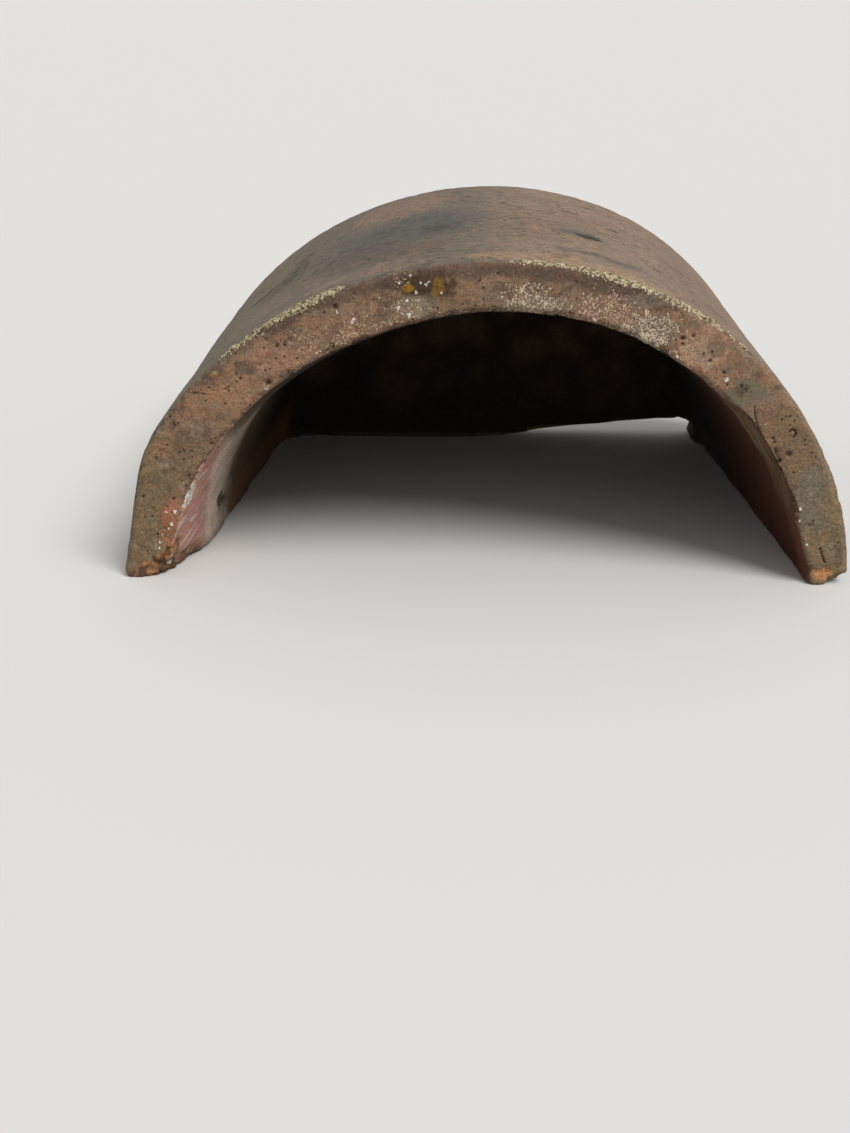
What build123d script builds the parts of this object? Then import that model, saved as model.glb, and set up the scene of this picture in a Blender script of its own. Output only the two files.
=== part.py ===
from build123d import *
import os
from math import cos, hypot, radians, sin, tan

# Half-round ridge tile in fired clay, closed by a wall at one end.
# The tile stands on its two long edges, as it does on a ridge board.
# X runs across the tile, Y from the open mouth (-Y) to the closed end (+Y), and Z up.
# The origin is on the ground, in the middle of the tile's box.

os.makedirs("parts", exist_ok=True)

# Overall size
span = 258.0  # over the two legs, at the ground, before the edges are worn round
rise = 114.0  # ground to the top of the crown
length = 195.0  # mouth to the back of the end wall

# Outer outline: one crown arc, a haunch arc on each side and two straight legs
outer_crown_shift = 2.6  # the hand-pressed crown lies a little right of the middle
outer_crown_flatness = 1.05  # 1 would be a crown arc that reaches down to a leg
outer_left_lean = 10.8  # degrees that the leg leans in from upright
outer_left_leg = 38.0  # height of the straight stretch
outer_right_lean = 4.8
outer_right_leg = 6.0

# Walls at the mouth
crown_wall = 16.0
left_foot_wall = 14.0
right_foot_wall = 11.5

# Inner outline at the mouth
inner_crown_shift = 13.0
inner_crown_flatness = 1.13
inner_left_lean = 16.0
inner_left_leg = 15.0
inner_right_lean = 20.0
inner_right_leg = 27.0

# Flare: the mouth narrows quickly until it meets the hollow
flare_draft = 17.0  # degrees
flare_overlap = 1.2  # the flare is cut this much deeper than the place where they meet

# Hollow behind the flare. Each step is what the flare takes off that wall at the mouth.
crown_step = 1.0
left_foot_step = 8.0
right_foot_step = 1.0
hollow_left_lean = 10.0
hollow_left_leg = 14.0
hollow_draft = 4.5  # degrees that the hollow narrows towards the end wall
hollow_corner = 15.0  # radius where the hollow's sides meet the end wall
end_wall = 16.0

# Gap below the end wall, which is cut short on the right and lets light in
gap_inset = 31.0  # from the tile's right side to the gap's deep end
gap_width = 112.0
gap_height = 10.8
gap_corner = 5.0

# Worn edges
rim_radius = 2.0  # round the mouth and along the feet
back_radius = 5.0  # round the closed end

# How far cutting shapes run past the clay
overrun = 20.0

# An edge runs along the tile where its direction has at least this share of Y
along_share = 0.9


def leg_end(side, foot_x, lean, leg_height):
    """The top of a straight leg that leans in from its foot."""
    return (foot_x - side * leg_height * tan(radians(lean)), leg_height)


def haunch_end(side, leg_top, lean, crown_centre, crown_radius):
    """The point where a haunch arc that starts along the leg runs into the crown arc."""
    slope = radians(lean)
    outward = (side * cos(slope), sin(slope))
    from_centre = (leg_top[0] - crown_centre[0], leg_top[1] - crown_centre[1])
    reach = from_centre[0] * outward[0] + from_centre[1] * outward[1]
    spread = from_centre[0] ** 2 + from_centre[1] ** 2
    haunch_radius = (spread - crown_radius**2) / (2 * (reach - crown_radius))
    haunch_centre = (
        leg_top[0] - haunch_radius * outward[0],
        leg_top[1] - haunch_radius * outward[1],
    )
    apart_x = haunch_centre[0] - crown_centre[0]
    apart_z = haunch_centre[1] - crown_centre[1]
    stretch = crown_radius / hypot(apart_x, apart_z)
    return (crown_centre[0] + apart_x * stretch, crown_centre[1] + apart_z * stretch)


def crown_arc_radius(leg_top, crown_shift, top):
    """Radius of the arc that is level at the crown and passes through the leg's top."""
    across = leg_top[0] - crown_shift
    drop = top - leg_top[1]
    return (across**2 + drop**2) / (2 * drop)


def arch(left, right, crown_shift, crown_flatness, top, floor):
    """Draw an arch's closed outline, with its legs run straight down to the floor height.

    Each side gives its foot's X at the ground, its leg's lean and the leg's height.
    """
    left_leg = leg_end(-1, *left)
    right_leg = leg_end(1, *right)
    radii = (
        crown_arc_radius(left_leg, crown_shift, top),
        crown_arc_radius(right_leg, crown_shift, top),
    )
    crown_radius = crown_flatness * max(radii)
    crown_centre = (crown_shift, top - crown_radius)
    left_haunch = haunch_end(-1, left_leg, left[1], crown_centre, crown_radius)
    right_haunch = haunch_end(1, right_leg, right[1], crown_centre, crown_radius)
    left_foot = leg_end(-1, left[0], left[1], floor)
    right_foot = leg_end(1, right[0], right[1], floor)
    left_side = Line(left_foot, left_leg)
    left_arc = TangentArc(left_leg, left_haunch, tangent=left_side % 1)
    crown_arc = TangentArc(left_haunch, right_haunch, tangent=left_arc % 1)
    TangentArc(right_haunch, right_leg, tangent=crown_arc % 1)
    Line(right_leg, right_foot)
    Line(right_foot, left_foot)


mouth_y = -length / 2
back_y = length / 2
half_span = span / 2
inner_rise = rise - crown_wall
below_ground = -2 * overrun

outer_left = (-half_span, outer_left_lean, outer_left_leg)
outer_right = (half_span, outer_right_lean, outer_right_leg)
left_foot = -half_span + left_foot_wall
right_foot = half_span - right_foot_wall
mouth_left = (left_foot, inner_left_lean, inner_left_leg)
mouth_right = (right_foot, inner_right_lean, inner_right_leg)
hollow_left = (left_foot + left_foot_step, hollow_left_lean, hollow_left_leg)
hollow_right = (right_foot - right_foot_step, inner_right_lean, inner_right_leg)

# The flare closes in on the hollow by the difference of their drafts
closing = tan(radians(flare_draft)) - tan(radians(hollow_draft))
flare_depth = flare_overlap * max(crown_step, left_foot_step, right_foot_step) / closing
gap_right = half_span - gap_inset
gap_left = gap_right - gap_width

# Hollow: open at the mouth and below, narrowing to rounded corners at the end wall
with BuildPart() as hollow:
    with BuildSketch(Plane.XZ.offset(-mouth_y)):
        with BuildLine():
            arch(
                hollow_left,
                hollow_right,
                inner_crown_shift,
                inner_crown_flatness,
                inner_rise - crown_step,
                below_ground,
            )
        make_face()
    extrude(amount=-(length - end_wall), taper=hollow_draft)
    deep_edges = hollow.edges().group_by(Axis.Y)[-1]
    fillet(deep_edges, radius=hollow_corner)

# Flare at the mouth
with BuildPart() as flare:
    with BuildSketch(Plane.XZ.offset(-mouth_y)):
        with BuildLine():
            arch(
                mouth_left,
                mouth_right,
                inner_crown_shift,
                inner_crown_flatness,
                inner_rise,
                below_ground,
            )
        make_face()
    extrude(amount=-flare_depth, taper=flare_draft)

# Gap: a wedge below the end wall, deepest at its right end
with BuildPart() as gap:
    with BuildSketch(Plane.XZ.offset(-back_y - overrun)) as wedge:
        with BuildLine():
            Polyline(
                (gap_left, -overrun),
                (gap_left, 0),
                (gap_right, gap_height),
                (gap_right, -overrun),
                close=True,
            )
        make_face()
        fillet(wedge.vertices().sort_by(Axis.Z)[-1], radius=gap_corner)
    extrude(amount=end_wall + 2 * overrun)

# The tile, pressed and fired as one piece of clay
with BuildPart() as ridge_tile:
    with BuildSketch(Plane.XZ.offset(-back_y)) as section:
        with BuildLine():
            arch(outer_left, outer_right, outer_crown_shift, outer_crown_flatness, rise, 0)
        make_face()
    extrude(amount=length)
    back_face = ridge_tile.faces().sort_by(Axis.Y)[-1]
    back_rim = back_face.edges().sort_by(Axis.Z)[1:]
    fillet(back_rim, radius=back_radius)
    add(hollow.part, mode=Mode.SUBTRACT)
    add(flare.part, mode=Mode.SUBTRACT)
    mouth_rims = ridge_tile.edges().group_by(Axis.Y)[0]
    ground_edges = ridge_tile.edges().group_by(Axis.Z)[0]
    foot_rims = ground_edges.filter_by(lambda edge: abs((edge % 0.5).Y) > along_share)
    fillet(mouth_rims + foot_rims, radius=rim_radius)
    add(gap.part, mode=Mode.SUBTRACT)

ridge_tile.part.label = "ridge_tile"
export_step(ridge_tile.part, "parts/ridge_tile.step")

print("solids", len(ridge_tile.part.solids()), "volume", round(ridge_tile.part.volume))
print("box", ridge_tile.part.bounding_box())
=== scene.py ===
import math
import random

import bmesh
import bpy
import numpy as np
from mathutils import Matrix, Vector, kdtree, noise


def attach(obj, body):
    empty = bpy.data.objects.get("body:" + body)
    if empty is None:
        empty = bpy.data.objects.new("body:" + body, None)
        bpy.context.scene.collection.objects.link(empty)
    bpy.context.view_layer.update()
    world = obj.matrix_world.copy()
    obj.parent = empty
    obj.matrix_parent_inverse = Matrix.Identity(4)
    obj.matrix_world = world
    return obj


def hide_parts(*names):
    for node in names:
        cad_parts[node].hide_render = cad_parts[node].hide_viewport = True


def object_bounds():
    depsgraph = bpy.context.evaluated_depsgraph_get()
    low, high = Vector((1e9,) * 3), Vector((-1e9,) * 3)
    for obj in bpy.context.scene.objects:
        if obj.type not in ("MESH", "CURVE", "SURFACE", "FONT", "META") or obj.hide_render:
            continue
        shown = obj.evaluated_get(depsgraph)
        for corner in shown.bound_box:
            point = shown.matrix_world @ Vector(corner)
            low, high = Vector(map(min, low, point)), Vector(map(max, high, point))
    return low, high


# A weathered clay ridge tile on a pale floor. Lengths are in millimetres, and MM turns them
# into metres where Blender takes them. X runs across the tile, Y from its mouth to its closed
# end, and Z up.

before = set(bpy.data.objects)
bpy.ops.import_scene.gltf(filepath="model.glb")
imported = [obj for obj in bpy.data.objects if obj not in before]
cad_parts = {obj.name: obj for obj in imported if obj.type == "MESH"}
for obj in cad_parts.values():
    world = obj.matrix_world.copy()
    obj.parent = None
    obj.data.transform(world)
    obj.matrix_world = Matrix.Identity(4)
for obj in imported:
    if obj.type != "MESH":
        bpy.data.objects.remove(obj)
cad_low, cad_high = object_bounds()
MM = 0.001
low = [c / MM for c in cad_low]
high = [c / MM for c in cad_high]
mouth_y = low[1]
chance = random.Random(7)

# Camera, at the photograph's viewing angle
image_width = 850
focal_pixels = 1500.0
sensor = 36.0
camera_place = (-5.45, -595.0, 202.0)
camera_pitch = math.radians(21.55)  # below the horizon
camera_heading = math.radians(1.78)  # from +Y towards -X

# Mesh spacing: an even grid, halved on the outer skin and in each band behind the mouth
grid = 3.4
fine_bands = (20.0, 8.0, 2.6)

# Depths behind the mouth
face_depth = 6.0  # the mouth face is painted as far as this
patch_depth = 5.0  # patches and lines on it end here
rim_depth = 8.0  # sandy grain, and the skin and hollow that distances are measured to
measured_depth = 12.0  # points as far as this know those distances

# A point joins a zone between these shares of its normal: along Y for the mouth, the back and
# the end wall, outward for the skin, inward for the hollow and down for the feet's undersides
facing_shares = (0.35, 0.75)
outward_shares = (-0.1, 0.3)
downward_shares = (0.6, 0.9)
underside_height = 14.0

# A ragged patch fades out between these shares of its size
patch_edge = (1.25, 0.75)

# Sizes of the noise that all the relief and paint share
ragged_size = 2.2
medium_size = 8.0
broad_size = 26.0

# A distance for points that are too far off to be measured
far_off = 99.0

# The hollow's middle seen from the mouth: X and Z
hollow_middle = (13.0, -5.0)

# The fracture on the left foot: where it meets the ground and how steeply it rises
fracture_x = -129.0
fracture_slope = 0.72

# The flake off the right leg's inner arris: its width on the mouth face and its depth
flake_on_face = 2.6
flake_deep = 17.0

# How many nicks, small pits and dents are scattered by chance
nick_count = 60
pit_count = 80
dent_count = 160

# Floor, in metres, and lamp
floor_size = 60.0
lamp_strength = 1.95
lamp_softness = math.radians(30)
lamp_tilt = math.radians(38)
lamp_heading = math.radians(45)

# Clay, as linear colours
TERRACOTTA = (0.37, 0.235, 0.155)
ORANGE = (0.44, 0.255, 0.145)
BROWN = (0.3, 0.2, 0.13)
RED_CLAY = (0.47, 0.275, 0.19)
BRICK = (0.46, 0.19, 0.105)
ROSE = (0.66, 0.355, 0.295)
RUST = (0.27, 0.135, 0.065)
FRESH = (0.55, 0.29, 0.14)
MAUVE = (0.176, 0.12, 0.087)
MAROON = (0.1, 0.03, 0.017)
WORN_BROWN = (0.155, 0.1, 0.062)

# Dirt and growth
KHAKI = (0.285, 0.212, 0.125)
OLIVE_BROWN = (0.27, 0.18, 0.11)
# Dirt, and painted shade under the lichen crust and in the flaked ridges' hollows
SMOKE_AND_SHADE = (0.12, 0.085, 0.065)
BLUE_GREY = (0.098, 0.1, 0.095)
GREY_GREEN = (0.225, 0.212, 0.15)
PEAT = (0.095, 0.063, 0.035)
# Painted shade: nearly black, for the inside and the end wall's inner face
INSIDE_SHADE = (0.026, 0.018, 0.013)
LIME = (0.82, 0.66, 0.54)
# Dust, and painted highlight on the flaked ridges' tops
DUST_AND_HIGHLIGHT = (0.34, 0.28, 0.205)
CREAM = (0.66, 0.55, 0.38)
CHALK = (0.92, 0.86, 0.76)
OCHRE = (0.42, 0.22, 0.03)
MOSS = (0.035, 0.036, 0.024)
DARK_OLIVE = (0.06, 0.062, 0.042)

# The outer skin
# Darker than TOP_RIGHT: partly the skin's greyer tone, partly painted shade on its left side
TOP_LEFT_SHADED = (0.165, 0.142, 0.112)
TOP_OLIVE = (0.195, 0.172, 0.122)
TOP_MAUVE = (0.16, 0.13, 0.108)
TOP_ROSE = (0.26, 0.185, 0.14)
TOP_RIGHT = (0.27, 0.205, 0.15)
TOP_WARM = (0.36, 0.25, 0.165)

# Colours inside the material
DARK_SPOT = (0.05, 0.042, 0.034)
# Dark grit, and dirt with painted shade in pits and grooves
DARK_GRIT_AND_PIT_SHADE = (0.04, 0.026, 0.018)
ROSY_SPECK = (0.72, 0.52, 0.38)
CREAM_SPECK = (0.82, 0.7, 0.48)
LIME_STREAK = (0.84, 0.74, 0.65)
LICHEN_GAP = (0.13, 0.1, 0.05)
LICHEN_DULL = (0.25, 0.2, 0.1)
LICHEN_PALE = (0.72, 0.62, 0.41)

# Tints that multiply a colour
LIGHT_GRAIN = (1.25, 1.21, 1.16)
DARK_GRAIN = (0.72, 0.69, 0.66)
REDDER = (1.07, 0.98, 0.94)
GREYER = (0.9, 0.95, 0.98)
PALE_BAND = (1.26, 1.23, 1.18)
DEEP_BAND = (0.64, 0.64, 0.66)
BETWEEN_SPECKS = (0.6, 0.56, 0.52)

# Surroundings: what lights the tile and what the camera sees
FLOOR_LIT = (0.34, 0.33, 0.32)
FLOOR_SEEN = (0.8, 0.79, 0.77)
WORLD_LIT = (0.46, 0.46, 0.46)
WORLD_SEEN = (0.785, 0.775, 0.755)

# Masks that are painted on the mesh and read by the material
MASKS = ("lichen", "specks", "grit", "moss", "dashes", "streaks", "polish", "pit", "chalk")


def step(start, end, value):
    """A smooth rise from 0 at start to 1 at end."""
    t = np.clip((value - start) / (end - start), 0.0, 1.0)
    return t * t * (3 - 2 * t)


def fractal(points, size, octaves=3, shift=0.0):
    """Fractal noise between about -1 and 1, with features of this size. A shift moves it."""
    scaled = points / size + shift
    return np.array([noise.fractal(p, 1.0, 2.0, octaves) for p in scaled.tolist()])


class Clay:
    """The fine mesh's points: where each one lies on the tile, its relief and its colour."""

    def __init__(self, mesh):
        count = len(mesh.vertices)
        flat = np.empty(count * 3)
        mesh.vertices.foreach_get("co", flat)
        self.points = flat.reshape(count, 3) / MM
        mesh.vertices.foreach_get("normal", flat)
        self.normals = flat.reshape(count, 3).copy()
        self.height = np.zeros(count)
        self.shift = np.zeros((count, 3))
        self.tone = np.tile(np.array(BROWN), (count, 1))
        self.masks = {name: np.zeros(count) for name in MASKS}
        self.x, self.y, self.z = self.points.T
        self.depth = self.y - mouth_y
        self.find_zones()
        self.tree = kdtree.KDTree(count)
        for index, point in enumerate(self.points.tolist()):
            self.tree.insert(point, index)
        self.tree.balance()
        self.from_outer = self.distance_to(self.outer)
        self.from_inner = self.distance_to(self.inner)
        self.ragged = fractal(self.points, ragged_size, shift=11.0)
        self.broad = fractal(self.points, broad_size)
        self.medium = fractal(self.points, medium_size, shift=3.0)

    def find_zones(self):
        """Share of each point in the mouth face, the outer skin, the inside and the ends."""
        outward = self.x * self.normals[:, 0] + self.z * self.normals[:, 2]
        outward /= np.hypot(self.x, self.z) + 1.0
        facing = self.normals[:, 1]
        self.front = self.depth < face_depth
        self.mouth = step(*facing_shares, -facing) * self.front
        self.back = step(*facing_shares, facing) * (self.y > 0)
        self.end_wall = step(*facing_shares, -facing) * (self.y > 0)
        side = (1 - self.mouth) * (1 - self.back) * (1 - self.end_wall)
        self.outer = step(*outward_shares, outward) * side
        self.inner = step(*outward_shares, -outward) * side
        self.under = step(*downward_shares, -self.normals[:, 2]) * (self.z < underside_height)

    def distance_to(self, zone):
        """How far each point near the mouth lies from the zone."""
        members = np.nonzero((zone > 0.5) & (self.depth < rim_depth))[0]
        tree = kdtree.KDTree(len(members))
        for index in members:
            tree.insert(self.points[index], index)
        tree.balance()
        distance = np.full(len(self.x), far_off)
        for index in np.nonzero(self.depth < measured_depth)[0]:
            distance[index] = tree.find(self.points[index])[2]
        return distance

    def on_mouth(self, x, z, wide, tall, rough=0.35):
        """Weight of a ragged patch on the mouth face, of these half sizes."""
        away = np.hypot((self.x - x) / wide, (self.z - z) / tall) + rough * self.ragged
        return step(*patch_edge, away) * (self.depth < patch_depth)

    def on_top(self, x, y, wide, long, rough=0.35, soft=0.25):
        """Weight of a ragged patch on the outer skin, of these half sizes."""
        away = np.hypot((self.x - x) / wide, (self.y - y) / long) + rough * self.ragged
        return step(1 + soft, 1 - soft, away) * self.outer

    def inside_left(self, z, depth, tall, long, rough):
        """Weight of a ragged patch on the left leg's inner side, of these half sizes."""
        away = np.hypot((self.z - z) / tall, (self.depth - depth) / long)
        away += rough * self.ragged
        return step(*patch_edge, away) * self.inner * (self.x < 0)

    def along(self, path, width):
        """Weight of a line on the mouth face through these (x, z) points."""
        away = self.from_line(path, self.z)
        return step(width, 0.3 * width, away) * (self.depth < patch_depth)

    def along_top(self, path, width):
        """Weight of a soft line on the outer skin through these (x, y) points."""
        away = self.from_line(path, self.y) + 0.8 * self.ragged
        return step(width, 0.1 * width, away) * self.outer

    def from_line(self, path, second):
        """Distance from a line through points that give X and the second coordinate."""
        nearest = np.full(len(self.x), far_off)
        for (x0, s0), (x1, s1) in zip(path, path[1:]):
            run_x, run_s = x1 - x0, s1 - s0
            share = (self.x - x0) * run_x + (second - s0) * run_s
            share = np.clip(share / (run_x**2 + run_s**2), 0, 1)
            away = np.hypot(self.x - x0 - share * run_x, second - s0 - share * run_s)
            nearest = np.minimum(nearest, away)
        return nearest

    def paint(self, colour, weight):
        """Mix this much of a colour over what is there."""
        weight = np.clip(weight, 0, 1)[:, None]
        self.tone = self.tone * (1 - weight) + np.array(colour) * weight

    def cover(self, mask, weight):
        """Raise a mask to at least this weight."""
        self.masks[mask] = np.maximum(self.masks[mask], np.clip(weight, 0, 1))

    def dig(self, centre, radius, depth, dark=0.8):
        """A rounded pit, or a small mound where the depth is negative."""
        for _, index, away in self.tree.find_range(centre, radius):
            bowl = max(0.0, 1 - (away / radius) ** 2)
            self.height[index] -= depth * bowl
            if depth > 0:
                # Each pit is darkened by how deep it is: partly dirt, partly painted shade in the
                # hollow.
                pit = self.masks["pit"]
                pit[index] = max(pit[index], dark * min(1.0, 1.2 * bowl))


def fine_mesh(node):
    """A fine mesh on the fired clay's surface, finest round the mouth."""
    piece = bpy.data.objects.new("weathered_tile", node.data.copy())
    bpy.context.scene.collection.objects.link(piece)
    remesh = piece.modifiers.new("even grid", "REMESH")
    remesh.mode = "VOXEL"
    remesh.voxel_size = grid * MM
    freeze(piece)
    work = bmesh.new()
    work.from_mesh(piece.data)
    work.normal_update()
    halve(work, lambda v: is_outer_skin(v) or v.co.y < (mouth_y + fine_bands[0]) * MM)
    for band in fine_bands[1:]:
        halve(work, lambda v: v.co.y < (mouth_y + band) * MM)
    wide_faces = [face for face in work.faces if len(face.verts) > 4]
    bmesh.ops.triangulate(work, faces=wide_faces)
    work.to_mesh(piece.data)
    work.free()
    wrap = piece.modifiers.new("onto the clay", "SHRINKWRAP")
    wrap.target = node
    wrap.wrap_method = "NEAREST_SURFACEPOINT"
    smooth = piece.modifiers.new("even out", "SMOOTH")
    smooth.factor = 0.5
    smooth.iterations = 3
    freeze(piece)
    return piece


def is_outer_skin(vertex):
    """Whether a vertex lies on the outer skin, above the feet."""
    outward = vertex.co.x * vertex.normal.x + vertex.co.z * vertex.normal.z
    return outward > 0 and vertex.co.z > 2 * grid * MM


def halve(work, chosen):
    """Cut each edge between two chosen vertices in half, and the faces between them."""
    edges = [edge for edge in work.edges if all(chosen(v) for v in edge.verts)]
    bmesh.ops.subdivide_edges(work, edges=edges, cuts=1, use_grid_fill=True)


def freeze(piece):
    """Replace the piece's mesh with what its modifiers make of it."""
    evaluated = piece.evaluated_get(bpy.context.evaluated_depsgraph_get())
    mesh = bpy.data.meshes.new_from_object(evaluated)
    piece.modifiers.clear()
    piece.data = mesh


# Relief


def roughen(clay):
    """Hand-made unevenness over everything, and a sandy grain round the mouth."""
    p = clay.points
    waves = fractal(p, 50, 2)
    lumps = fractal(p, 9, shift=14.0)
    bumps = fractal(p, 5)
    near = clay.depth < rim_depth
    sand = np.zeros(len(p))
    sand[near] = fractal(p[near], 1.2)
    inside = clay.inner * step(0, 16, clay.z)
    clay.height += 0.35 * waves - 0.12
    clay.height += (0.5 * clay.mouth + 0.3 * inside) * lumps
    clay.height += (0.3 * clay.end_wall + 0.3 * clay.back + 0.14 * clay.outer) * bumps
    clay.height += (0.15 * clay.mouth + 0.06 * clay.outer + 0.08 * clay.inner) * sand


def wear_arrises(clay):
    """The mouth's two arrises are worn and nicked, the legs' outer ones least of all."""
    worn = step(-0.15, 0.5, fractal(clay.points, 9, shift=5.0))
    near_outer = clay.mouth * step(3.5, 0, clay.from_outer)
    near_outer += clay.outer * step(3.5, 0, clay.depth)
    near_outer *= 1 - 0.8 * step(92, 106, np.abs(clay.x))
    near_inner = clay.mouth * step(2.5, 0, clay.from_inner)
    near_inner += clay.inner * step(2.5, 0, clay.depth)
    clay.height -= 0.8 * near_outer * worn + 0.5 * near_inner * worn
    nicks = np.nonzero((near_inner > 0.6) & (clay.z > 8))[0]
    for index in chance.sample(nicks.tolist(), nick_count):
        radius = chance.uniform(0.7, 1.9)
        clay.dig(clay.points[index], radius, radius * 0.4, dark=0.1)


def square_feet(clay):
    """The feet's lower edges and outer sides are fuller than the even grid left them."""
    worn_corner = step(12, 6, high[0] - clay.x)
    clay.height += 1.5 * step(6, 1, clay.z) * (1 - clay.back) * (1 - worn_corner)
    sides = step(106, 116, np.abs(clay.x)) * step(60, 30, clay.z) * clay.outer
    clay.height += 0.6 * sides


def break_left_foot(clay):
    """A fracture slants across the foot's mouth end, and its inner bottom edge has gone."""
    slant = (clay.x - fracture_x) * fracture_slope - clay.z
    foot = step(-101, -106, clay.x)
    lost = np.clip(slant + 1.2 * clay.ragged, 0, 9) * foot
    recess = 0.12 + 0.3 * step(-125, -117, clay.x + 2 * clay.medium)
    clay.shift[:, 1] += recess * lost * step(15, 0, clay.depth)
    band = step(-0.6, 0.9, slant + 1.2 * clay.ragged) * foot * (clay.depth < 7)
    crumbs = np.zeros(len(band))
    crumbs[band > 0] = fractal(clay.points[band > 0], 2.2, shift=9.0)
    clay.height += 0.75 * crumbs * band
    clay.paint(RUST, band)
    clay.paint(FRESH, band * step(0.0, 0.35, crumbs) * 0.8)
    clay.paint(SMOKE_AND_SHADE, band * step(-0.05, -0.35, crumbs) * 0.9)
    sill = step(6.0, 4.8, clay.z + 1.5 * clay.ragged) * (clay.x < -90) * (clay.x > -117)
    sill *= step(30, 22, clay.depth) * (1 - clay.outer)
    clay.height -= sill * (1.3 + 1.2 * clay.ragged)
    clay.paint(RUST, sill * 0.9)
    clay.paint(SMOKE_AND_SHADE, sill * step(0.1, -0.3, clay.ragged) * 0.8)


def round_right_foot(clay):
    """The outer corner at the ground is worn round, most of all at the mouth."""
    corner = step(8.5, 0, np.hypot(high[0] - clay.x, 1.4 * clay.z))
    nearness = 0.35 + 0.65 * step(30, 0, clay.depth)
    clay.height -= 2.4 * corner * nearness
    end = clay.on_mouth(127, 1, 5, 3, rough=0.2)
    clay.shift[:, 1] += 1.6 * end


def flake_right_edge(clay):
    """The right leg's inner arris has flaked off to a long bevel with ridges along it. Ridge tops
    are painted pale as painted highlight, and hollows dark as painted shade.
    """
    zone = step(23, 34, clay.z) * step(69, 58, clay.z) * (clay.x > 0)
    zone *= np.maximum(clay.inner, clay.mouth)
    on_face = np.where(clay.inner > 0.5, 0.0, clay.from_inner)
    uneven = 0.3 * fractal(clay.points, 16, 2, shift=20.0) + 0.06 * clay.ragged
    inside = 1 + uneven - on_face / flake_on_face - clay.depth / flake_deep
    across = math.hypot(flake_on_face, flake_deep)
    lost = np.clip(inside, 0, 1.4) * zone * flake_on_face * flake_deep / across
    out_x = clay.x - hollow_middle[0]
    out_z = clay.z - hollow_middle[1]
    outward = lost * flake_deep / across / np.hypot(out_x, out_z)
    clay.shift[:, 0] += outward * out_x
    clay.shift[:, 1] += lost * flake_on_face / across
    clay.shift[:, 2] += outward * out_z
    ridge_width = 2.6
    ridge_length = 22
    across_bevel = clay.depth / ridge_width - on_face
    strips = np.c_[across_bevel, clay.z / ridge_length, np.zeros(len(lost))]
    ridges = fractal(strips, 1.0, shift=8.0)
    bevel = step(0.0, 0.12, inside) * zone
    clay.height += 0.5 * ridges * bevel
    clay.paint(WORN_BROWN, bevel)
    clay.paint(RUST, bevel * 0.4)
    # Ridge tops painted pale and ridge hollows painted dark: painted highlight and painted shade.
    clay.paint(DUST_AND_HIGHLIGHT, bevel * step(0.1, 0.45, ridges) * 0.6)
    clay.paint(SMOKE_AND_SHADE, bevel * step(-0.15, -0.45, ridges) * 0.7)


def carve_grooves(clay):
    """Grooves, a crack and flaked lines on the mouth face, each through (x, z) points."""
    curl = ((103.9, 56.5), (104.8, 57.2), (105.8, 56.7), (106.0, 55.5), (105.5, 54.5))
    slit = ((118.2, 14.0), (119.1, 11.2), (120.4, 8.6))
    fissure = ((91.2, 65.0), (91.8, 61.5), (92.6, 58.5), (92.9, 54.5))
    crack = ((92.6, 58.5), (94.2, 56.4))
    scratch = ((-102.0, 68.5), (-96.0, 68.0))
    grooves = (
        (curl, 0.6, 0.8),
        (slit, 0.5, 0.8),
        (fissure, 0.5, 0.6),
        (crack, 0.4, 0.5),
        (scratch, 0.4, 0.3),
    )
    # These grooves, and the flaked lines below, are darkened through the pit mask: partly dirt,
    # partly painted shade.
    for path, width, deep in grooves:
        line = clay.along(path, width)
        clay.height -= deep * line
        clay.cover("pit", line)
    flaked = (
        (93.6, 52.4),
        (96.8, 47.4),
        (99.1, 41.6),
        (103.1, 38.4),
        (106.2, 31.2),
        (109.3, 27.6),
    )
    gash = ((98.4, 54.1), (99.6, 49.9), (101.6, 44.8))
    for path in (flaked, gash):
        line = clay.along(path, 0.9) * step(-0.45, 0.2, clay.ragged)
        clay.height -= 0.6 * line
        clay.cover("pit", 0.9 * line)
    notch = clay.along(((-118.5, 49.5), (-115.5, 53.0), (-113.0, 56.5)), 2.6)
    clay.height -= 0.9 * notch * (0.6 + clay.ragged)


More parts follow.
